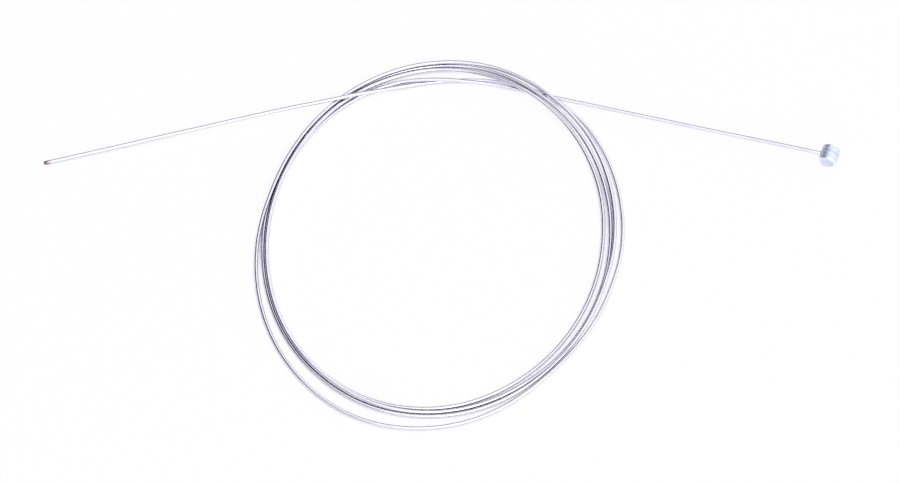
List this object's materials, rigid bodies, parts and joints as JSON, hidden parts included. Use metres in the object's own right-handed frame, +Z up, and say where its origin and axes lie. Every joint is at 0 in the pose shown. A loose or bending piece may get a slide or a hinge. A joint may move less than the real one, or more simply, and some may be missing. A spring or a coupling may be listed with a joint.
{
  "type": "bicycle brake cable",
  "caption": "Loosely coiled twisted steel wire cable with a barrel-shaped cast head at one end and a fused bare tip at the other, for a bicycle brake lever.",
  "frame": {"origin": "on the surface the cable lies on, under the middle of its outline", "axes": "+X from the bare tip's side to the head's side, +Y to the back where the two tails leave the coil, +Z up from the surface"},
  "size_m": [0.3044, 0.154, 0.0073],
  "materials": {
    "strand_steel": "drawn stainless wires, twisted, bright and smooth",
    "cast_head": "die-cast zinc alloy, satin with a cool grey bloom"
  },
  "bodies": {
    "root": {"strand": "strand_steel", "barrel_head": "cast_head"}
  },
  "joints": []
}
